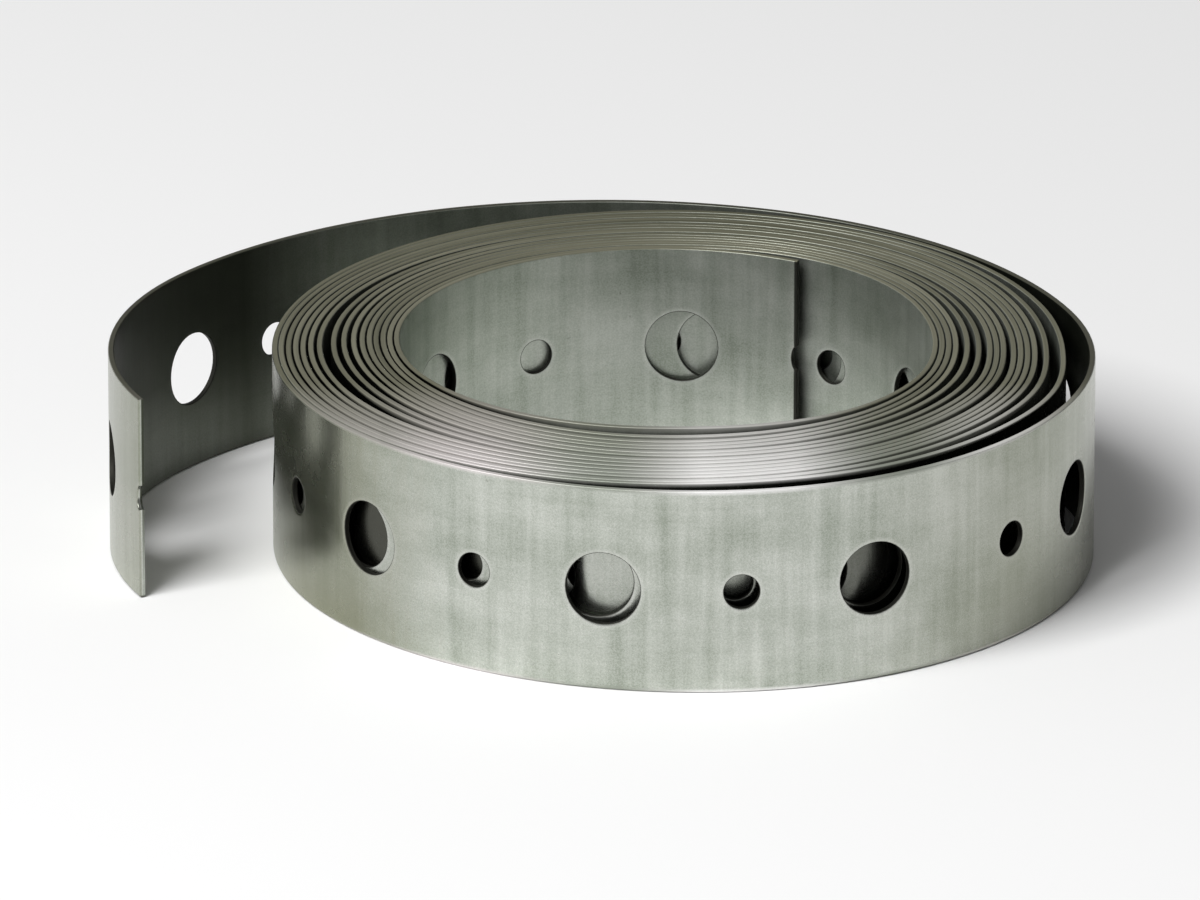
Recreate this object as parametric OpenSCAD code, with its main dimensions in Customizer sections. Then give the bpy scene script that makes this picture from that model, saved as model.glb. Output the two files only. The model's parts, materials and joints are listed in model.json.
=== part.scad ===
// Roll of galvanized pipe strap: one perforated steel strap wound into a flat roll that lies on its edge.
// The wound turns are one turned solid with a bore, and the turns show as a spiral groove on both ends.
// The last turn is loose: it stands off the roll and swings away as a free tail.

/* [Strap] */
// Width of the strap, which is the height of the roll
strap_w = 19.05; // [16:0.05:26]
// Thickness of the strap
strap_t = 0.55; // [0.4:0.01:0.6]

/* [Roll] */
// Radius of the roll's bore
bore_r = 22.9; // [21:0.1:24]
// Radius of the wound turns, without the loose turn
roll_r = 35.4; // [35.2:0.05:35.5]
// How far the wound turns' centre lies in front of the bore's
roll_shift = 2.05; // [1.5:0.05:2.5]
// Number of wound turns that show on the ends
turns = 15; // [10:1:16]
// Width of the groove between two turns
groove_w = 0.22; // [0.15:0.01:0.25]
// Depth of that groove
groove_d = 1.5; // [0.5:0.1:4]

/* [Holes] */
// Diameter of the large holes
large_d = 6.75; // [5:0.05:8]
// Diameter of the small holes
small_d = 3.2; // [2.6:0.1:4]
// Distance from each hole to the next, along the strap
hole_pitch = 12.25; // [12:0.05:12.7]
// Longer step that the punch left once on the loose turn
punch_slip = 3.3; // [0:0.1:3.5]
// Number of pitches from the strap's outer end to that step
slip_after = 14; // [10:1:16]

/* [Ends] */
// Where the strap's inner end lies on the bore, in degrees from the +X axis
inner_end_angle = 59; // [40:1:80]
// Width of the step that the inner end makes in the bore
end_step_w = 0.6; // [0.4:0.1:1]

/* [Hidden] */
FINE = 96;
EPS = 0.01;
SECTOR_R = 100;

// The outermost turn rises slowly out of the roll's surface, and every arc after that turns left,
// tangent to the one before. Each row is the radius of the strap's outer face, and the direction from
// the arc's centre in which the arc ends. The directions are exact unit vectors, so arcs meet exactly.
RISE_FROM = [0.5, 0.866];
RISE_OFFSET = [-0.15, -0.25];
LOOSE_TURN = [
    [roll_r + 0.2, [-0.8, -0.6]],    // rising out of the roll, from the back right to the front left
    [39, [0, -1]],                   // along the front, and off the roll
    [35.75, [0.936, -0.352]],        // round the front right
    [33.5, [0.936, 0.352]],          // the right side
    [43.75, [0.28, 0.96]],           // back right, close to the roll again
    [47.5, [-0.8, 0.6]],             // along the back and away on the left
    [32.5, [-0.907, -0.421]]         // the curl at the outer end
];
LAST_ARC = len(LOOSE_TURN) - 1;
ROLL_CENTRE = [0, -roll_shift];

function angle_of(v) = atan2(v[1], v[0]);
function arc_r(i) = LOOSE_TURN[i][0];
function arc_start(i) = i == 0 ? RISE_FROM : arc_end(i - 1);
function arc_end(i) = LOOSE_TURN[i][1];
function arc_sweep(i) = (angle_of(arc_end(i)) - angle_of(arc_start(i)) + 360) % 360;
function arc_centre(i) = i == 0
    ? ROLL_CENTRE + RISE_OFFSET
    : arc_centre(i - 1) + (arc_r(i - 1) - arc_r(i)) * arc_start(i);

// Lengths are measured along the middle of the strap's thickness
function arc_length(i) = (arc_r(i) - strap_t / 2) * arc_sweep(i) * PI / 180;
function length_before(i) = i == 0 ? 0 : length_before(i - 1) + arc_length(i - 1);
LOOSE_LENGTH = length_before(LAST_ARC + 1);
// The arc that holds the point at length s
function arc_at(s, i = 0) = (i == LAST_ARC || s < length_before(i + 1)) ? i : arc_at(s, i + 1);
function angle_on(i, s) =
    angle_of(arc_start(i)) + (s - length_before(i)) / (arc_r(i) - strap_t / 2) * 180 / PI;

// Holes are counted from each end, and each end cuts through a small hole, hole 0. The punch left a few
// uneven steps: each row is the hole before the step, and how much longer the step is than the pitch.
OUTER_STEPS = [[0, -0.65], [3, -1.45], [13, -0.6], [slip_after, punch_slip]];
INNER_STEPS = [[1, 1.7], [2, 0.7], [6, -1.2], [9, -1.2]];
// Each end lies this far short of the middle of its hole 0
END_SHORT = 1.1;
function hole_d(k) = k % 2 == 0 ? small_d : large_d;
function strayed(k, steps, i = 0) = i == len(steps)
    ? 0
    : (k > steps[i][0] ? steps[i][1] : 0) + strayed(k, steps, i + 1);
function hole_from_end(k, steps) = k * hole_pitch + strayed(k, steps) - END_SHORT;
LOOSE_HOLES = floor((LOOSE_LENGTH - punch_slip) / hole_pitch);
// Reach of a hole's cutter to each side of the middle of the strap's thickness
CUT_IN = 0.45;
CUT_OUT = 0.6;

// Wound turns: the pitch is wider in front than behind, because the bore lies off centre. Both pitches
// are rounded, so that the half turns of the groove meet exactly.
ROUND_TO = 0.02;
function rounded(x) = round(x / ROUND_TO) * ROUND_TO;
FRONT_PITCH = rounded((roll_r + roll_shift - bore_r - strap_t) / turns);
BACK_PITCH = rounded((roll_r - roll_shift - bore_r - strap_t) / turns);
function front_y(k) = -(bore_r + strap_t + k * FRONT_PITCH);
function back_y(k) = bore_r + strap_t + (k + 0.5) * BACK_PITCH;

// The sector between the arc's two directions, well past the strap
module arc_sector(i) {
    middle = angle_of(arc_start(i)) + arc_sweep(i) / 2;
    linear_extrude(strap_w)
        polygon([
            [0, 0],
            SECTOR_R * arc_start(i),
            SECTOR_R * [cos(middle), sin(middle)],
            SECTOR_R * arc_end(i)
        ]);
}

// One arc of the strap
module bent_strap(i) {
    translate([arc_centre(i)[0], arc_centre(i)[1], 0])
        intersection() {
            difference() {
                cylinder(r = arc_r(i), h = strap_w, $fn = FINE);
                translate([0, 0, -1])
                    cylinder(r = arc_r(i) - strap_t, h = strap_w + 2, $fn = FINE);
            }
            arc_sector(i);
        }
}

// A hole's cutter, pointing out along the direction a, at radius r about the point c
module hole_cutter(c, r, a, d, reach_in, reach_out) {
    translate([c[0], c[1], strap_w / 2])
        rotate([0, 0, a])
            translate([r - reach_in, 0, 0])
                rotate([0, 90, 0])
                    cylinder(d = d, h = reach_in + reach_out, $fn = FINE);
}

// Half a turn of the groove, from y0 to y1 on the Y axis: the right half, or the left
module half_turn(y0, y1, right) {
    r = abs(y1 - y0) / 2;
    translate([0, (y0 + y1) / 2, 0])
        intersection() {
            difference() {
                cylinder(r = r + groove_w / 2, h = groove_d + EPS, $fn = FINE);
                translate([0, 0, -1])
                    cylinder(r = r - groove_w / 2, h = groove_d + 2, $fn = FINE);
            }
            translate([right ? 0 : -SECTOR_R, -SECTOR_R, -1])
                cube([SECTOR_R, 2 * SECTOR_R, groove_d + 2]);
        }
}

module spiral_groove() {
    for (k = [0 : turns - 1]) {
        half_turn(front_y(k), back_y(k), true);
        half_turn(back_y(k), front_y(k + 1), false);
    }
}

module wound_turns() {
    difference() {
        translate([ROLL_CENTRE[0], ROLL_CENTRE[1], 0])
            cylinder(r = roll_r, h = strap_w, $fn = FINE);
        translate([0, 0, -1])
            cylinder(r = bore_r, h = strap_w + 2, $fn = FINE);
        translate([0, 0, -EPS])
            spiral_groove();
        translate([0, 0, strap_w - groove_d])
            spiral_groove();
    }
}

module loose_turn() {
    for (i = [0 : LAST_ARC])
        bent_strap(i);
}

// The outermost turn's small holes (first = 0) or large holes (first = 1): blind where it lies on the
// roll, and through where it is loose
module outer_holes(first) {
    for (k = [first : 2 : LOOSE_HOLES]) {
        s = LOOSE_LENGTH - hole_from_end(k, OUTER_STEPS);
        i = arc_at(s);
        hole_cutter(arc_centre(i), arc_r(i) - strap_t / 2, angle_on(i, s), hole_d(k), CUT_IN, CUT_OUT);
    }
}

// The holes of the innermost turn, blind in the bore
module bore_holes() {
    for (k = [0 : floor(2 * PI * bore_r / hole_pitch) - 1]) {
        turned = hole_from_end(k, INNER_STEPS) / bore_r * 180 / PI;
        hole_cutter([0, 0], bore_r, inner_end_angle + turned, hole_d(k), CUT_OUT, strap_t);
    }
}

// The strap's inner end, a narrow upright step in the bore
module inner_end() {
    rotate([0, 0, inner_end_angle])
        translate([bore_r - CUT_OUT, -end_step_w, -1])
            cube([CUT_OUT + strap_t, end_step_w, strap_w + 2]);
}

module strap() {
    color([0.68, 0.70, 0.66])
        difference() {
            difference() {
                union() {
                    wound_turns();
                    loose_turn();
                }
                outer_holes(0);
            }
            outer_holes(1);
            bore_holes();
            inner_end();
        }
}

strap();
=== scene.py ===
"""Roll of galvanized pipe strap: one perforated strap, wound flat, with a loose last turn and a free tail.

The strap is one mesh. Its path in plan is worked out first, turn by turn, from the inner end to the
outer end. Then every hole gets a tile of surface round it, and the tiles are bent along the path.
Lengths are in millimetres until the mesh is made, and in metres in the material and the stage.
"""
import json
import math

import bmesh
import bpy
import numpy as np
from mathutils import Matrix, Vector


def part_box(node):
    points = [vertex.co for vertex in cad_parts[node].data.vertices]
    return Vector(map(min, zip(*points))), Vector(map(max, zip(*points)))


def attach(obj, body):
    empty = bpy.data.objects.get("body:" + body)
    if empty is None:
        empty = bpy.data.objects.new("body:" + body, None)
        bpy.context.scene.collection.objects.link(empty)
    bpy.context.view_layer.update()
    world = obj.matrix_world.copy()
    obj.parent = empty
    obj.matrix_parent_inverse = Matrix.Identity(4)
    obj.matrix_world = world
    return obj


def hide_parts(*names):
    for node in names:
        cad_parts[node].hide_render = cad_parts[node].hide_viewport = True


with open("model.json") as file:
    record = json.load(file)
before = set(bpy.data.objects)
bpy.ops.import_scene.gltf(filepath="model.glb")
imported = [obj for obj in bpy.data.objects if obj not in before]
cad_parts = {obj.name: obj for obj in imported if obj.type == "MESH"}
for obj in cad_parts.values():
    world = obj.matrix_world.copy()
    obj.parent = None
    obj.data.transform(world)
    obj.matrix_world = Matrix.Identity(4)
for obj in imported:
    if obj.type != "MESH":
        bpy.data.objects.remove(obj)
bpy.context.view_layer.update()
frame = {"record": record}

MM = 0.001
LOW, HIGH = (np.array(corner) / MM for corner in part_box("strap"))
MOUNTS = {m["name"]: m for m in frame["record"]["mounts"]}


def mount_size(name, what):
    return MOUNTS[name]["dims"][what]


# ---------------------------------------------------------------- sizes, in millimetres and degrees
# The width, thickness and holes of the strap come from the frame. The layout of the turns is this
# script's own, because the CAD model has them as one solid.

THICK = mount_size("large_hole_1", "length_mm")
LARGE_R = mount_size("large_hole_1", "r_mm")
SMALL_R = mount_size("small_hole_2", "r_mm")
HEIGHT = HIGH[2] - LOW[2]

# Holes are counted from each end. The punch left a few uneven steps: the hole before the step, and how
# much longer the step is than the pitch.
HOLE_PITCH = 12.25
OUTER_STEPS = {0: -0.65, 3: -1.45, 13: -0.6, 14: 3.3, 28: 4.1, 40: 1.8}
INNER_STEPS = {1: 1.7, 2: 0.7, 6: -1.2, 9: -1.2, 10: 1.1, 12: -0.4, 25: 1.9}
# Each end cuts its hole 0 this far short of the middle, which leaves a notch: its depth and half height
END_SHORT = 1.1
END_NOTCH = np.array([SMALL_R - END_SHORT, math.sqrt(SMALL_R ** 2 - END_SHORT ** 2)])
# These holes, counted from the inner end, lie this far under the middle of the strap's width
LOW_HOLES = range(10, 13)
LOW_BY = 0.55

# The turns don't lie quite level with each other, by two waves along the strap. A wave's row is its
# share of the room, its length for each radian, and the radian at which it starts.
ROOM_FOR_SHIFT = 0.05
SHIFT_WAVES = [(0.55, 61.0, 0.4), (0.45, 23.7, 1.9)]
WIDTH = HEIGHT - 2 * ROOM_FOR_SHIFT

INNER_END = 59.0          # angle of the strap's inner end
# The bore is an ellipse about this centre, with this half width and half depth, and it is pushed out at
# the front right. A row of BORE_BULGE is an angle, and how far the wall stands out of the ellipse there.
BORE_CENTRE = np.array([-0.45, 0.0])
BORE_SIZE = np.array([23.85, 22.8])
BULGE = 1.4
DENT = -0.3
BORE_BULGE = [(-47, BULGE), (20, DENT), (60, DENT), (100, 0), (266, 0), (313, BULGE), (380, DENT)]
ROLL_CENTRE = np.array([0.0, -2.05])
ROLL_R = 35.4

# The outermost turn, as in the CAD model: the radius of each arc's outer face, and the direction from
# the arc's centre in which the arc ends. Every arc starts where the one before it ends.
RISE_FROM = np.array([0.5, 0.866])
RISE_OFFSET = np.array([-0.15, -0.25])
LOOSE_TURN = [
    (ROLL_R + 0.2, (-0.8, -0.6)),
    (39.0, (0.0, -1.0)),
    (35.75, (0.936, -0.352)),
    (33.5, (0.936, 0.352)),
    (43.75, (0.28, 0.96)),
    (47.5, (-0.8, 0.6)),
    (32.5, (-0.907, -0.421)),
]
RISE_ANGLE = math.degrees(math.atan2(RISE_FROM[1], RISE_FROM[0]))
TURNS = 15
WOUND = TURNS + (RISE_ANGLE - INNER_END) / 360   # turns between the inner end and the rise

# The outermost of the wound turns, under the loose one: angle, and radius of its middle about the roll's
# centre. It bulges off the roll at the front right, and lies back on it before it rises.
TOP_TURN = [(160, 34.78), (217, 35.02), (258, 34.9), (278, 35.1), (297, 35.75), (321, 36.08), (338, 36.15),
            (354, 35.3), (375, 35.08), (400, 35.08)]

# Relative width of the air between one turn and the next, from the bore outwards, by the side's angle
GAPS = {
    90: [1.0, 1.6, 2.1, 1.4, 1.9, 2.3, 1.6, 1.2, 2.0, 1.7, 2.2, 1.5, 1.8, 1.6],
    180: [0.6, 0.5, 0.7, 0.5, 0.8, 1.9, 2.9, 3.2, 6.2, 2.0, 1.3, 0.9, 0.8, 0.9],
    270: [5.5, 2.7, 0.9, 1.3, 1.0, 0.9, 1.2, 1.5, 0.9, 1.1, 0.9, 1.2, 0.9, 1.0],
    360: [0.5, 0.5, 0.7, 4.0, 4.2, 3.8, 0.6, 0.5, 3.0, 0.7, 0.6, 0.8, 4.0, 8.0],
}
END_GAP = 16.0            # under the inner end, which stands off the turn behind it
STEP_OVER = 0.8           # part of the first turn after which it makes way for the inner end


# ---------------------------------------------------------------- camera

CAMERA_ELEVATION = 20.8
CAMERA_DISTANCE = 1.5     # metres
CAMERA_LENS = 500.4       # millimetres, on a sensor this wide
SENSOR_WIDTH = 36
CAMERA_REACH = 50         # metres, the furthest that it sees
AIM_OFFSET = (-0.13, -2.34, 0)   # from the middle of the roll's box to the middle of the picture


# ---------------------------------------------------------------- path of the strap in plan

def unit(degrees):
    a = np.radians(degrees)
    return np.stack([np.cos(a), np.sin(a)], -1)


def angle_of(v):
    return math.degrees(math.atan2(v[1], v[0]))


def loose_turn(step=0.5):
    """Points along the middle of the outermost turn, from where it rises out of the roll."""
    points = []
    centre = ROLL_CENTRE + RISE_OFFSET
    start = RISE_FROM
    radius = LOOSE_TURN[0][0]
    for r, end in LOOSE_TURN:
        centre = centre + (radius - r) * np.array(start)
        sweep = (angle_of(end) - angle_of(start)) % 360
        n = max(int(math.radians(sweep) * r / step), 2)
        turned = angle_of(start) + sweep * np.arange(n) / n
        points.append(centre + (r - THICK / 2) * unit(turned))
        start, radius = end, r
    points.append((centre + (radius - THICK / 2) * unit(angle_of(start)))[None])
    return np.concatenate(points)


def smooth_between(x, knots):
    """A smooth curve through (x, y) knots, level at each knot."""
    xs, ys = (np.array(c, float) for c in zip(*knots))
    i = np.clip(np.searchsorted(xs, x) - 1, 0, len(xs) - 2)
    t = np.clip((x - xs[i]) / (xs[i + 1] - xs[i]), 0, 1)
    return ys[i] + (ys[i + 1] - ys[i]) * t * t * (3 - 2 * t)


def curve_through(x, knots):
    """A smooth curve through (x, y) knots, with each knot's slope taken from its neighbours."""
    xs, ys = (np.array(c, float) for c in zip(*knots))
    slopes = np.gradient(ys, xs)
    i = np.clip(np.searchsorted(xs, x) - 1, 0, len(xs) - 2)
    span = xs[i + 1] - xs[i]
    t = (x - xs[i]) / span
    ends = ys[i] + (ys[i + 1] - ys[i]) * t * t * (3 - 2 * t)
    return ends + span * t * (1 - t) * (slopes[i] * (1 - t) - slopes[i + 1] * t)


def from_roll_centre(degrees, radius):
    """The distance from the origin, at an angle, of a point at this radius about the roll's centre."""
    along = unit(degrees) @ ROLL_CENTRE
    return along + np.sqrt(radius ** 2 - ROLL_CENTRE @ ROLL_CENTRE + along ** 2)


def bore_wall(degrees):
    """The distance from the origin of the bore's wall, at an angle."""
    e = unit(degrees) / BORE_SIZE
    c = BORE_CENTRE / BORE_SIZE
    a, b = (e * e).sum(-1), e @ c
    return (b + np.sqrt(b * b - a * (c @ c - 1))) / a + smooth_between(degrees % 360, BORE_BULGE)


def gap_weight(turns):
    """Relative air outside the strap, this many turns from its inner end."""
    knots = [(0, END_GAP)]
    for k in range(TURNS - 1):
        for side in GAPS:
            knots.append((k + (side - INNER_END) / 360, GAPS[side][k]))
    return smooth_between(turns, knots)


def air_share(f, k, layers):
    """Part of the air between bore and top layer that lies inside layer k, at the part f of a turn."""
    inside, total = np.zeros_like(f), np.zeros_like(f)
    for j in range(TURNS):
        weight = gap_weight(f + j)
        inside += np.where(j < k, weight, 0)
        total += np.where(j < layers, weight, 0)
    return inside / total


def wound_turns(rise, steps=720):
    """Points along the middle of the wound turns, from the inner end to the point of the rise.

    The innermost turn follows the bore and the outermost follows TOP_TURN. Between them the turns share
    the room by gap_weight.
    """
    sigma = np.arange(int(round(WOUND * steps)) + 1) / steps
    f, k = np.modf(sigma)
    layers = np.floor(WOUND - f)           # index of the outermost layer at this angle
    rise_radius = math.dist(rise, ROLL_CENTRE)

    # at the inner end's angle, the room for one more layer
    zero = np.zeros(1)
    end_wall = bore_wall(zero + INNER_END) + THICK / 2
    room = from_roll_centre(zero + RISE_ANGLE, rise_radius) - end_wall - THICK * TURNS
    share_1, share_last = (air_share(zero, zero + j, zero + TURNS) for j in (1, TURNS - 1))
    step_out = (THICK + room * share_1)[0]
    top_start = (rise_radius - THICK - room * (1 - share_last))[0]

    angle = INNER_END + 360 * f
    around = RISE_ANGLE + 360 * (f + layers - WOUND + 1)
    knots = [(RISE_ANGLE, top_start), *TOP_TURN, (RISE_ANGLE + 360, rise_radius)]
    top = from_roll_centre(around, curve_through(around, knots))
    bottom = bore_wall(angle) + THICK / 2 + smooth_between(f, [(0, 0), (STEP_OVER, 0), (1, step_out)])
    air = top - bottom - THICK * layers
    radius = bottom + THICK * k + air * air_share(f, k, layers)
    return radius[:, None] * unit(INNER_END + 360 * sigma)


class Path:
    """The middle of the strap's thickness in plan, by the distance from the outer end."""

    SMOOTHED_OVER = 9     # points whose directions are averaged

    def __init__(self, points, step=0.25):
        points = points[::-1]
        length = np.concatenate([[0], np.cumsum(np.hypot(*np.diff(points, axis=0).T))])
        self.length = length[-1]
        self.s = np.linspace(0, self.length, int(self.length / step) + 1)
        self.xy = np.stack([np.interp(self.s, length, points[:, i]) for i in (0, 1)], -1)
        along = np.gradient(self.xy, axis=0)
        kernel = np.ones(self.SMOOTHED_OVER) / self.SMOOTHED_OVER
        margin = self.SMOOTHED_OVER // 2
        padded = np.pad(along, ((margin, margin), (0, 0)), mode="edge")
        along = np.stack([np.convolve(padded[:, i], kernel, "valid") for i in (0, 1)], -1)
        along /= np.hypot(along[:, 0], along[:, 1])[:, None]
        self.along = along

    def at(self, s):
        """Points, directions along the strap, and directions out of the roll."""
        xy = np.stack([np.interp(s, self.s, self.xy[:, i]) for i in (0, 1)], -1)
        along = np.stack([np.interp(s, self.s, self.along[:, i]) for i in (0, 1)], -1)
        along /= np.hypot(along[:, 0], along[:, 1])[:, None]
        return xy, along, np.stack([-along[:, 1], along[:, 0]], -1)


# ---------------------------------------------------------------- the strap's mesh

SIDE_QUADS = 12           # quads up each side of a tile
TOP_QUADS = 8             # and along its top and bottom
FINE_OUTER = 48           # this many holes from the outer end have the finest tiles
FINE_INNER = 26           # and this many from the inner end
FACE = THICK / 2          # from the middle of the thickness
EDGE_ROUND = 0.13         # rounding along the slit edges
TOP = WIDTH / 2 - EDGE_ROUND   # where the flat of a face ends

# The punch draws a hole's rim in by LIP on the outer face, and by a part of that on the inner face. A
# rim's rows are given by their distance from the hole, the part of LIP there, and the slope there.
LIP = 0.07
INNER_FACE_DRAW = 0.3
FINE_RIM = [(0, 1, 0.6), (0.1, 0.3, 0.2), (0.35, 0, 0)]
PLAIN_RIM = [(0, 0.3, 0.4)]
# Where rows lie between the rim and the tile's edge
FINE_SHARES = (0.35, 0.7, 1)
PLAIN_SHARES = (0.5, 1)
# Where rows lie on the wall of a fine hole: one under its outer rim, and one over its inner face
UNDER_RIM = 0.06
OVER_INNER_FACE = 0.08
WALL_LEVELS = (FACE - LIP - UNDER_RIM, OVER_INNER_FACE - FACE)


def stepped(count, steps):
    """Distances of the first holes from their hole 0."""
    k = np.arange(count + 1)
    return k * HOLE_PITCH + sum(np.where(k > hole, longer, 0.0) for hole, longer in steps.items())


def hole_places(length):
    """Distances of the holes from the outer end. The first and the last lie at the ends."""
    first = stepped(FINE_OUTER, OUTER_STEPS) - END_SHORT
    last = length + END_SHORT - stepped(FINE_INNER, INNER_STEPS)[::-1]
    first[0], last[-1] = 0, length
    steps = 2 * round((last[0] - first[-1]) / HOLE_PITCH / 2)
    return np.concatenate([first, np.linspace(first[-1], last[0], steps + 1)[1:-1], last])


def tile_border(start, end):
    """Points round a tile's edge, anticlockwise, from the middle of its bottom back to there."""
    half = TOP_QUADS // 2
    low = np.linspace(0, end, half + 1)[:-1]
    right = np.linspace(-TOP, TOP, SIDE_QUADS + 1)[:-1]
    high = np.concatenate([np.linspace(end, 0, half + 1)[:-1], np.linspace(0, start, half + 1)[:-1]])
    back = np.linspace(start, 0, half + 1)
    return np.concatenate([
        np.column_stack([low, np.full(half, -TOP)]),
        np.column_stack([np.full(SIDE_QUADS, end), right]),
        np.column_stack([high, np.full(TOP_QUADS, TOP)]),
        np.column_stack([np.full(SIDE_QUADS, start), -right]),
        np.column_stack([back, np.full(half + 1, -TOP)]),
    ])


class Sheet:
    """The strap before it is bent. A point holds its place along, up and out, its normal in the same
    directions, and its distance from the nearest hole."""

    WELD_DECIMALS = 4     # of a millimetre

    def __init__(self):
        self.points, self.quads, self.count = [], [], 0

    def row(self, flat, out, normal, away):
        """Add a row of points, and return their indices."""
        row = np.empty((len(flat), 7))
        row[:, 0:2] = flat
        row[:, 2] = out
        row[:, 3:6] = normal
        row[:, 6] = away
        self.points.append(row)
        self.count += len(row)
        return np.arange(self.count - len(row), self.count)

    def join(self, rows, kept=slice(None)):
        """Quads between each row of points and the next."""
        for a, b in zip(rows, rows[1:]):
            self.quads.append(np.column_stack([a[:-1], a[1:], b[1:], b[:-1]])[kept])

    def welded(self):
        """All points and quads, with the points that lie at one place made one."""
        points = np.concatenate(self.points)
        quads = np.concatenate(self.quads)
        places = np.round(points[:, :3], self.WELD_DECIMALS)
        _, first, same = np.unique(places, axis=0, return_index=True, return_inverse=True)
        return points[first], same.reshape(-1)[quads]


def add_tile(sheet, place, start, end, low, size, fine, part):
    """A hole and the strap round it. low is how far the hole lies under the middle, size is its half
    width and half height, and part is the stretch of its outline that is there."""
    turned = np.linspace(-math.pi / 2, 1.5 * math.pi, 2 * (SIDE_QUADS + TOP_QUADS) + 1)[part]
    border = tile_border(start, end)[part]
    spoke = np.column_stack([np.cos(turned), np.sin(turned)])
    at = np.array([place, 0.0])
    centre = np.array([0.0, -low])
    rim = FINE_RIM if fine else PLAIN_RIM
    shares = FINE_SHARES if fine else PLAIN_SHARES

    faces = []
    for side, draw in ((1, 1), (-1, INNER_FACE_DRAW)):
        rows = []
        for away, drawn_in, slope in rim:
            normal = np.column_stack([-slope * draw * spoke, np.full(len(spoke), side)])
            flat = at + centre + spoke * (size + away)
            rows.append(sheet.row(flat, side * (FACE - draw * drawn_in * LIP), normal, away))
        inner = centre + spoke * (size + rim[-1][0])
        for share in shares:
            flat = inner + (border - inner) * share
            away = np.hypot(*(flat - centre).T) - size[1]
            rows.append(sheet.row(at + flat, side * FACE, (0, 0, side), away))
        sheet.join(rows)
        faces.append(rows)

    facing = np.column_stack([-spoke, np.zeros(len(spoke))])
    levels = WALL_LEVELS if fine else ()
    wall = [sheet.row(at + centre + spoke * size, out, facing, 0) for out in levels]
    sheet.join([faces[0][0], *wall, faces[1][0]])

    for up in (1, -1):
        on_edge = np.isclose(border[:, 1], up * TOP)
        flat = np.column_stack([border[:, 0], np.full(len(border), up * WIDTH / 2)])
        away = np.hypot(*(flat - centre).T) - size[1]
        edge = [sheet.row(at + flat, out, (0, up, 0), away)
                for out in (FACE - EDGE_ROUND, EDGE_ROUND - FACE)]
        sheet.join([faces[0][-1], *edge, faces[1][-1]], on_edge[:-1] & on_edge[1:])


def flat_strap(places):
    """The whole strap, straight, with a tile for each hole."""
    sheet = Sheet()
    full = 2 * (SIDE_QUADS + TOP_QUADS)
    last = len(places) - 1
    for k, place in enumerate(places):
        before = (places[k] - places[max(k - 1, 0)]) / 2
        after = (places[min(k + 1, last)] - places[k]) / 2
        part = slice(None)
        size = END_NOTCH if k in (0, last) else np.full(2, LARGE_R if k % 2 else SMALL_R)
        if k == 0:
            part = slice(0, full // 2 + 1)
        elif k == last:
            part = slice(full // 2, None)
        fine = k < FINE_OUTER or k > last - FINE_INNER
        low = LOW_BY if last - k in LOW_HOLES else 0.0
        add_tile(sheet, place, -before, after, low, size, fine, part)
    return sheet.welded()


def turns_shift(s):
    """How far a turn lies up or down from level."""
    waves = [share * np.sin(s / length + start) for share, length, start in SHIFT_WAVES]
    return ROOM_FOR_SHIFT * sum(waves)


def bend(points, path):
    """Where the points lie, in millimetres, and their normals, once the strap is bent along its path."""
    s, up, out = points[:, 0:3].T
    normal_along, normal_up, normal_out = points[:, 3:6].T
    xy, along, outward = path.at(s)
    co = np.empty((len(points), 3))
    co[:, :2] = xy + outward * out[:, None]
    co[:, 2] = HEIGHT / 2 + up + turns_shift(s)
    normal = np.empty_like(co)
    normal[:, :2] = along * normal_along[:, None] + outward * normal_out[:, None]
    normal[:, 2] = normal_up
    return co, normal / np.linalg.norm(normal, axis=1)[:, None]


def closed_mesh(co, quads):
    """A mesh of the quads, and after them the faces that close the strap's two cut ends."""
    bm = bmesh.new()
    verts = [bm.verts.new(c) for c in co * MM]
    for quad in quads:
        bm.faces.new([verts[i] for i in quad])
    end_outlines = [e for e in bm.edges if e.is_boundary]
    bmesh.ops.holes_fill(bm, edges=end_outlines, sides=0)
    bmesh.ops.recalc_face_normals(bm, faces=bm.faces)
    mesh = bpy.data.meshes.new("strap_roll")
    bm.to_mesh(mesh)
    bm.free()
    return mesh


def set_normals(mesh, normal, cut_faces):
    """Shade the mesh smoothly, with the points' own normals. The faces at the cuts stay flat."""
    loops = np.empty(len(mesh.loops), np.int32)
    mesh.loops.foreach_get("vertex_index", loops)
    corner = normal[loops]
    for face in cut_faces:
        for i in face.loop_indices:
            corner[i] = face.normal
    mesh.polygons.foreach_set("use_smooth", np.ones(len(mesh.polygons), bool))
    mesh.normals_split_custom_set(corner.tolist())


def strap_mesh(path):
    """The strap's mesh. Its material reads where a point was before it was bent, and how far from a hole."""
    points, quads = flat_strap(hole_places(path.length))
    co, normal = bend(points, path)
    mesh = closed_mesh(co, quads)
    before = (points[:, 0:3] * MM).astype(np.float32)
    away = (points[:, 6] * MM).astype(np.float32)
    mesh.attributes.new("strip", "FLOAT_VECTOR", "POINT").data.foreach_set("vector", before.ravel())
    mesh.attributes.new("rim", "FLOAT", "POINT").data.foreach_set("value", away)
    set_normals(mesh, normal, mesh.polygons[len(quads):])
    return mesh


def make_strap():
    outer = loose_turn()
    path = Path(np.concatenate([wound_turns(outer[0]), outer[1:]]))
    strap = bpy.data.objects.new("strap_roll", strap_mesh(path))
    bpy.context.collection.objects.link(strap)
    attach(strap, "root")
    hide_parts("strap")
    strap.data.materials.append(galvanized_steel(path.length))


# ---------------------------------------------------------------- materials

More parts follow.
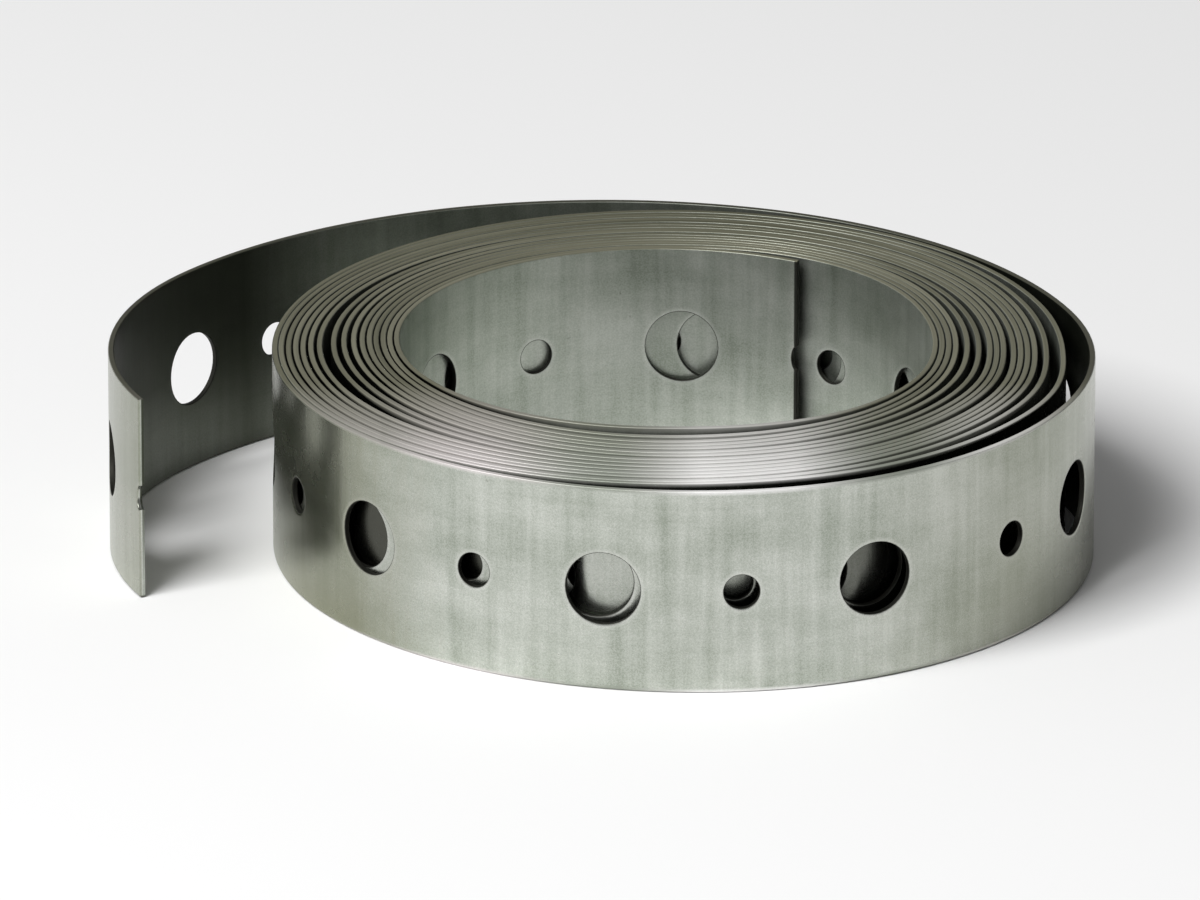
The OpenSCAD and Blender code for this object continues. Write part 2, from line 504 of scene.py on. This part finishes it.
class Shader:
    """A material's nodes. An input is given by its label, as a number, a colour or another node's output."""

    MOST_OF_A_NOISE = (0.3, 0.7)

    def __init__(self, name):
        self.material = bpy.data.materials.new(name)
        self.material.use_nodes = True
        self.tree = self.material.node_tree
        self.tree.nodes.clear()

    def node(self, kind, inputs=None, **settings):
        made = self.tree.nodes.new("ShaderNode" + kind)
        for key, value in settings.items():
            setattr(made, key, value)
        for key, value in (inputs or {}).items():
            if isinstance(value, bpy.types.NodeSocket):
                self.tree.links.new(value, made.inputs[key])
            else:
                made.inputs[key].default_value = value
        return made

    def attribute(self, name, output):
        return self.node("Attribute", attribute_name=name).outputs[output]

    def position(self):
        return self.node("NewGeometry").outputs["Position"]

    def split(self, vector):
        """A vector's three parts."""
        outputs = self.node("SeparateXYZ", {0: vector}).outputs
        return outputs["X"], outputs["Y"], outputs["Z"]

    def noise(self, vector, waves, detail, roughness=0.5):
        """A noise with this many waves a metre along each of the vector's parts."""
        scaled = self.node("VectorMath", {0: vector, 1: waves}, operation="MULTIPLY").outputs["Vector"]
        made = self.node("TexNoise", {"Vector": scaled, "Scale": 1.0, "Detail": detail,
                                      "Roughness": roughness})
        return made.outputs["Fac"]

    def ramp(self, value, low, high, to_low=0.0, to_high=1.0):
        """Carry a value's range over to another range, and stop at its ends."""
        made = self.node("MapRange", {"Value": value, "From Min": low, "From Max": high,
                                      "To Min": to_low, "To Max": to_high})
        return made.outputs["Result"]

    def spread(self, noise, to_low=0.0, to_high=1.0):
        """Carry the range in which most of a noise lies over to another range."""
        return self.ramp(noise, *self.MOST_OF_A_NOISE, to_low, to_high)

    def stretch(self, value, fades):
        """1 over a stretch of the value, with a fade at each of its ends."""
        return self.product(*(self.ramp(value, *fade) for fade in fades))

    def math(self, operation, a, b=0.0):
        return self.node("Math", {0: a, 1: b}, operation=operation).outputs["Value"]

    def product(self, first, *others):
        for other in others:
            first = self.math("MULTIPLY", first, other)
        return first

    def total(self, first, *others):
        for other in others:
            first = self.math("ADD", first, other)
        return first

    def mix(self, factor, a, b):
        made = self.node("Mix", {"Factor": factor, "A": a, "B": b}, data_type="RGBA")
        return made.outputs["Result"]

    def bump(self, height, distance):
        return self.node("Bump", {"Height": height, "Distance": distance}).outputs["Normal"]

    def surface(self, **inputs):
        """End with a principled shader, with its inputs by label, spaces written as underscores."""
        labels = {key.replace("_", " "): value for key, value in inputs.items()}
        bsdf = self.node("BsdfPrincipled", labels)
        self.node("OutputMaterial", {"Surface": bsdf.outputs["BSDF"]})
        return self.material


def rgb(red, green, blue):
    return red, green, blue, 1


# Noises on the strap: waves a metre along, up and out, then detail and roughness. The marks across the
# strap come from its bending, and the mill lines lie along it.
NOISES = {
    "spangle": ((420, 420, 420), 3.0, 0.65),
    "across": ((700, 40, 0), 3.0, 0.6),
    "mill": ((25, 1700, 0), 3.0, 0.6),
    "grain": ((6500, 6500, 6500), 2.0, 0.5),
    "smudge": ((70, 120, 0), 4.0, 0.55),
    "specks": ((1300, 1300, 1300), 3.0, 0.7),
    "edge_tone": ((9, 0, 0), 3.0, 0.7),
    "edge_lines": ((50, 0, 9000), 2.0, 0.6),
}
FACE_BEGINS = 0.0001      # metres from the middle of the thickness


class Spot:
    """Where a point lies on the strap before it is bent, where it lies in space, and the noises there.

    Each is a node's output. In this section lengths are in metres, along is from the outer end, and up is
    from the middle of the width.
    """

    def __init__(self, sh, length):
        flat = sh.attribute("strip", "Vector")
        self.along, self.up, out = sh.split(flat)
        self.x, self.y, _ = sh.split(sh.position())
        self.rim = sh.attribute("rim", "Fac")
        self.from_inner_end = sh.math("SUBTRACT", length * MM, self.along)
        self.outer_face = sh.ramp(out, 0.0, FACE_BEGINS)
        self.inner_face = sh.ramp(out, 0.0, -FACE_BEGINS)
        self.noise = {name: sh.noise(flat, *noise) for name, noise in NOISES.items()}


# The fades below are the value where a mark begins and the value where it is full. Where two more
# numbers follow, they are its strength at the one and at the other.

ZINC_DARK = rgb(0.33, 0.36, 0.305)
ZINC_LIGHT = rgb(0.635, 0.655, 0.605)
SPANGLE_TONE = (0.42, 0.58)
TONE_REACH = {"across": 0.24, "mill": 0.05, "smudge": 0.36, "grain": 0.22}
SPECK_COLOUR = rgb(0.15, 0.15, 0.12)
SPECK_FADE = (0.70, 0.77, 0.0, 0.45)
GLINT_COLOUR = rgb(0.80, 0.80, 0.77)
GLINT_FROM_RIM = (0.0002, 0.0005, 0.25, 0.0)


def clean_zinc(sh, at):
    """Soft spangle with streaks and lines, dark specks, and a lighter glint round the holes."""
    tone = sh.spread(at.noise["spangle"], *SPANGLE_TONE)
    for name, reach in TONE_REACH.items():
        tone = sh.total(tone, sh.spread(at.noise[name], -reach, reach))
    zinc = sh.mix(tone, ZINC_DARK, ZINC_LIGHT)
    zinc = sh.mix(sh.ramp(at.noise["specks"], *SPECK_FADE), zinc, SPECK_COLOUR)
    return sh.mix(sh.ramp(at.rim, *GLINT_FROM_RIM), zinc, GLINT_COLOUR)


# Painted shade on the inner face: a little everywhere, and more at the bore's left.
INSIDE_SHADE_COLOUR = rgb(0.14, 0.18, 0.135)
INSIDE_SHADE_STRENGTH = (0.0, 1.0, 0.18, 0.62)
BORE_LEFT_SHADE_FROM_INNER_END = ((0.035, 0.055), (0.085, 0.070))


def painted_inner_shade(sh, at, zinc):
    """Painted shade: the inside is a little darker, and darker still at the bore's left."""
    inner_shade = sh.ramp(sh.stretch(at.from_inner_end, BORE_LEFT_SHADE_FROM_INNER_END), *INSIDE_SHADE_STRENGTH)
    return sh.mix(sh.product(at.inner_face, inner_shade), zinc, INSIDE_SHADE_COLOUR)


# Painted shade on the inner face of the outer turn, lighter where the tail leaves and low on the free end.
OUTER_TURN_SHADE_COLOUR = rgb(0.045, 0.05, 0.035)
OUTER_TURN_SHADE_STRENGTH = 0.95
OUTER_TURN_SHADE_ALONG = (0.250, 0.215)
LESS_SHADE_WHERE_TAIL_LEAVES = ((0.042, 0.060, 0.0, 0.85), (0.115, 0.095))
LESS_SHADE_LOW_UP = (0.0, -0.008)
LESS_SHADE_LOW_ALONG = (0.045, 0.005, 0.0, 0.85)


def painted_outer_turn_shade(sh, at, zinc):
    """Painted shade on the inside of the outer turn, with less of it where the tail leaves the roll, and
    low down on the free end."""
    low = sh.product(sh.ramp(at.up, *LESS_SHADE_LOW_UP), sh.ramp(at.along, *LESS_SHADE_LOW_ALONG))
    less_shade = sh.math("MAXIMUM", low, sh.stretch(at.along, LESS_SHADE_WHERE_TAIL_LEAVES))
    strength = sh.math("SUBTRACT", OUTER_TURN_SHADE_STRENGTH, less_shade)
    painted_shade = sh.product(at.inner_face, sh.ramp(at.along, *OUTER_TURN_SHADE_ALONG), strength)
    return sh.mix(painted_shade, zinc, OUTER_TURN_SHADE_COLOUR)


# The outside darker towards the free end, and painted shade on the right, most of all low down.
DARK_END_AND_SHADE_COLOUR = rgb(0.225, 0.23, 0.17)
DARKER_END_ALONG = (0.060, 0.010, 0.0, 0.6)
RIGHT_SHADE_ALONG = ((0.187, 0.168), (0.080, 0.110))
RIGHT_SHADE_UP = (0.004, -0.006, 0.42, 0.64)


def outer_darkening_and_shade(sh, at, zinc):
    """The outside is darker towards the free end, and has painted shade on the right, most of all low down.
    """
    end = sh.ramp(at.along, *DARKER_END_ALONG)
    right = sh.product(sh.stretch(at.along, RIGHT_SHADE_ALONG), sh.ramp(at.up, *RIGHT_SHADE_UP))
    end_and_right_shade = sh.product(at.outer_face, sh.math("MAXIMUM", end, right))
    return sh.mix(end_and_right_shade, zinc, DARK_END_AND_SHADE_COLOUR)


# Painted shade on the outside of the roll's left side.
LEFT_SHADE_COLOUR = rgb(0.20, 0.205, 0.135)
LEFT_SHADE_ALONG = ((0.2235, 0.2345), (0.290, 0.270))
LEFT_SHADE_UP = (-0.0085, -0.004, 0.85, 0.65)
LEFT_SHADE_WAVER = (-0.003, 0.003)


def painted_left_shade(sh, at, zinc):
    """Painted shade on the outside, which begins on the left with a wavering front."""
    wavy = sh.total(at.along, sh.spread(at.noise["across"], *LEFT_SHADE_WAVER))
    painted_shade = sh.product(sh.stretch(wavy, LEFT_SHADE_ALONG), sh.ramp(at.up, *LEFT_SHADE_UP), at.outer_face)
    return sh.mix(painted_shade, zinc, LEFT_SHADE_COLOUR)


# Painted shade between the turns, seen through the holes.
BETWEEN_TURNS_SHADE_COLOUR = rgb(0.05, 0.05, 0.04)
BETWEEN_TURNS_SHADE_RIGHT_ALONG = (0.29, 0.31)
BETWEEN_TURNS_SHADE_RIGHT_X = (0.0, 0.012, 0.15, 0.8)
BETWEEN_TURNS_SHADE_LEFT_ALONG = (0.50, 0.52)
BETWEEN_TURNS_SHADE_LEFT_X = (-0.008, -0.015, 0.2, 0.95)


def painted_shade_between_turns(sh, at, zinc):
    """Painted shade between the turns, which shows through the holes: from the second turn inwards at the
    right, and from the third at the left."""
    right = sh.product(sh.ramp(at.along, *BETWEEN_TURNS_SHADE_RIGHT_ALONG), sh.ramp(at.x, *BETWEEN_TURNS_SHADE_RIGHT_X))
    left = sh.product(sh.ramp(at.along, *BETWEEN_TURNS_SHADE_LEFT_ALONG), sh.ramp(at.x, *BETWEEN_TURNS_SHADE_LEFT_X))
    return sh.mix(sh.product(at.outer_face, sh.math("MAXIMUM", right, left)), zinc, BETWEEN_TURNS_SHADE_COLOUR)


# Painted shade on the punched walls and on the cut at the inner end.
WALL_SHADE_COLOUR = rgb(0.035, 0.035, 0.03)
WALL_FROM_RIM = (0.00009, 0.00002)
WALL_ALONG = (0.002, 0.004)
CUT_FROM_INNER_END = (0.0003, 0.0002)


def painted_wall_shade(sh, at):
    """Where the punched walls and the cut at the inner end are, which get painted shade."""
    wall = sh.product(sh.ramp(at.rim, *WALL_FROM_RIM), sh.ramp(at.along, *WALL_ALONG))
    return sh.math("MAXIMUM", wall, sh.ramp(at.from_inner_end, *CUT_FROM_INNER_END))


# The slit edges at the back are a shaded copy, with more painted shade on the outer turns at the back.
BACK_DARK = rgb(0.09, 0.09, 0.055)
BACK_LIGHT = rgb(0.235, 0.23, 0.165)
BACK_LINES = (-0.2, 0.2)
SHADED_COLOUR = rgb(0.06, 0.06, 0.032)
SHADED_Y = (0.023, 0.034)
SHADED_X = (-0.006, 0.010, 0.55, 0.9)


def shaded_back_edges(sh, at):
    """The shaded copy of the slit edges, for the back: olive with lines, and more painted shade on the outer
    turns at the back.
    """
    worn = sh.total(sh.spread(at.noise["edge_tone"]), sh.spread(at.noise["edge_lines"], *BACK_LINES))
    shaded = sh.product(sh.ramp(at.y, *SHADED_Y), sh.ramp(at.x, *SHADED_X))
    return sh.mix(shaded, sh.mix(worn, BACK_DARK, BACK_LIGHT), SHADED_COLOUR)


# The slit edges in front are a lit copy, with two painted highlights.
FRONT_COLOUR = rgb(0.25, 0.27, 0.225)
FRONT_LINES = (-0.15, 0.15)
LEFT_HIGHLIGHT_COLOUR = rgb(0.68, 0.635, 0.63)
RIGHT_HIGHLIGHT_COLOUR = rgb(0.88, 0.87, 0.855)
HIGHLIGHT_COLOUR_X = (-0.012, 0.002)
RIGHT_HIGHLIGHT_AT = 0.006875
HIGHLIGHT_STEP = 0.0263
HIGHLIGHT_FULL_X = (-0.0064, -0.0062, 1.0, 0.6)   # the cosine at which a highlight is full: lower is wider
FAR_LEFT_HIGHLIGHT_X = (-0.0215, -0.026, 0.0, 0.65)


def lit_front_edges(sh, at):
    """The lit copy of the slit edges, for the front, with two painted highlights. The right one is wider
    and whiter, and the left one fades slowly to its left."""
    turned = sh.product(sh.math("SUBTRACT", at.x, RIGHT_HIGHLIGHT_AT), 2 * math.pi / HIGHLIGHT_STEP)
    highlights = sh.ramp(sh.math("COSINE", turned), -1.0, sh.ramp(at.x, *HIGHLIGHT_FULL_X))
    highlights = sh.math("MAXIMUM", highlights, sh.ramp(at.x, *FAR_LEFT_HIGHLIGHT_X))
    highlights = sh.total(highlights, sh.spread(at.noise["edge_lines"], *FRONT_LINES))
    bright = sh.mix(sh.ramp(at.x, *HIGHLIGHT_COLOUR_X), LEFT_HIGHLIGHT_COLOUR, RIGHT_HIGHLIGHT_COLOUR)
    return sh.mix(highlights, FRONT_COLOUR, bright)


LOOSE_EDGE_COLOUR = rgb(0.035, 0.035, 0.025)
LOOSE_EDGE_ALONG = (0.165, 0.150, 0.0, 0.75)


def bare_edges(sh, at, front):
    """The colour of the slit edges: the lit copy in front and the shaded copy at the back. They are dark
    on the tail, and on the loose turn as far round as the right side."""
    bare = sh.mix(front, shaded_back_edges(sh, at), lit_front_edges(sh, at))
    return sh.mix(sh.ramp(at.along, *LOOSE_EDGE_ALONG), bare, LOOSE_EDGE_COLOUR)


EDGE_BEGINS = 0.00012     # from the strap's top or bottom
EDGE_FULL = 0.00005
# In front the lit edge colour, with its painted highlights, reaches this far down the faces.
FRONT_HIGHLIGHT_DEPTH_ALONG = (0.46, 0.50, 0.0003, 0.0012)


def edge_area(sh, at, front):
    """Where the slit edges are bare. In front the lit edge colour, with its painted highlights, reaches down
    the faces too, and furthest on the turns inside the outer two."""
    below_top = sh.math("SUBTRACT", WIDTH / 2 * MM, sh.math("ABSOLUTE", at.up))
    front_highlight_depth = sh.product(front, sh.ramp(at.along, *FRONT_HIGHLIGHT_DEPTH_ALONG))
    return sh.ramp(below_top, sh.total(front_highlight_depth, EDGE_BEGINS), EDGE_FULL)


# Where the shaded back edges give way to the lit front edges with their painted highlights
FRONT_Y = (-0.012, -0.034)
METAL = (0.0, 1.0, 1.0, 0.25)                 # from zinc to bare edge
ROUGHNESS = (0.7, 1.3, 0.24, 0.29)            # by spangle and smudges
ROUGHER_INSIDE = 0.16
ROUGHER_WALL = 0.3
RELIEF = {"across": 0.6, "grain": 0.08, "mill": 0.08}
RELIEF_DEPTH = 0.00003


def galvanized_steel(length):
    """Zinc with its marks and painted shade, and bare slit edges with painted light, on a strap of
    this length.
    """
    sh = Shader("galvanized_steel")
    at = Spot(sh, length)
    zinc = clean_zinc(sh, at)
    # Painted shade inside, between the turns and on the roll's sides; the outside also darker towards the
    # free end
    for darkening in (painted_inner_shade, painted_outer_turn_shade, outer_darkening_and_shade, painted_left_shade, painted_shade_between_turns):
        zinc = darkening(sh, at, zinc)
    # Painted shade on the punched walls and the inner end's cut.
    wall = painted_wall_shade(sh, at)
    zinc = sh.mix(wall, zinc, WALL_SHADE_COLOUR)

    front = sh.ramp(at.y, *FRONT_Y)
    edge = edge_area(sh, at, front)
    colour = sh.mix(edge, zinc, bare_edges(sh, at, front))

    rough = sh.ramp(sh.total(at.noise["spangle"], at.noise["smudge"]), *ROUGHNESS)
    rougher = sh.product(sh.math("MAXIMUM", edge, at.inner_face), ROUGHER_INSIDE)
    rough = sh.total(rough, rougher, sh.product(wall, ROUGHER_WALL))
    height = sh.total(*(sh.product(at.noise[name], share) for name, share in RELIEF.items()))
    return sh.surface(Base_Color=colour, Metallic=sh.ramp(edge, *METAL), Roughness=rough,
                      Normal=sh.bump(height, RELIEF_DEPTH))


FLOOR_DARK = rgb(0.86, 0.86, 0.86)
FLOOR_LIGHT = rgb(0.88, 0.88, 0.88)
FLOOR_WAVES = (3, 3, 3)
FLOOR_DETAIL = 2.0


def pale_floor():
    sh = Shader("pale_floor")
    tone = sh.spread(sh.noise(sh.position(), FLOOR_WAVES, FLOOR_DETAIL))
    return sh.surface(Base_Color=sh.mix(tone, FLOOR_DARK, FLOOR_LIGHT), Roughness=0.8)


# ---------------------------------------------------------------- stage, light and camera

FLOOR_REACH = 6.0         # metres, to each side
FLOOR_UNDER = 0.00002     # metres under the roll
LAMP_PLACE = (-0.6, -0.6, 1.0)   # metres
LAMP_SIZE = 0.7           # metres
LAMP_POWER = 21           # watts
SKY_STRENGTH = 0.2


def make_floor():
    corners = [(x * FLOOR_REACH, y * FLOOR_REACH, 0) for x, y in ((-1, -1), (1, -1), (1, 1), (-1, 1))]
    mesh = bpy.data.meshes.new("floor")
    mesh.from_pydata(corners, [], [(0, 1, 2, 3)])
    floor = bpy.data.objects.new("floor", mesh)
    floor.location.z = LOW[2] * MM - FLOOR_UNDER
    bpy.context.collection.objects.link(floor)
    floor.data.materials.append(pale_floor())


def make_camera():
    aim = Vector((LOW + HIGH) / 2 * MM) + Vector(AIM_OFFSET) * MM
    tilt = math.radians(CAMERA_ELEVATION)
    back = Vector((0, -math.cos(tilt), math.sin(tilt)))
    camera = bpy.data.cameras.new("camera")
    camera.lens = CAMERA_LENS
    camera.sensor_width = SENSOR_WIDTH
    camera.clip_end = CAMERA_REACH
    made = bpy.data.objects.new("camera", camera)
    made.location = aim + back * CAMERA_DISTANCE
    made.rotation_euler = (-back).to_track_quat("-Z", "Y").to_euler()
    bpy.context.collection.objects.link(made)
    bpy.context.scene.camera = made


def make_light():
    """An even white sky, and one soft square lamp that faces the roll."""
    world = bpy.data.worlds.new("studio")
    bpy.context.scene.world = world
    world.use_nodes = True
    background = world.node_tree.nodes["Background"]
    background.inputs["Color"].default_value = (1, 1, 1, 1)
    background.inputs["Strength"].default_value = SKY_STRENGTH
    light = bpy.data.lights.new("left_soft", "AREA")
    light.shape = "SQUARE"
    light.size = LAMP_SIZE
    light.energy = LAMP_POWER
    lamp = bpy.data.objects.new("left_soft", light)
    lamp.location = LAMP_PLACE
    lamp.rotation_euler = (-Vector(LAMP_PLACE)).to_track_quat("-Z", "Y").to_euler()
    bpy.context.collection.objects.link(lamp)


make_camera()
make_light()
make_floor()
make_strap()
bpy.context.scene.view_settings.view_transform = "Standard"
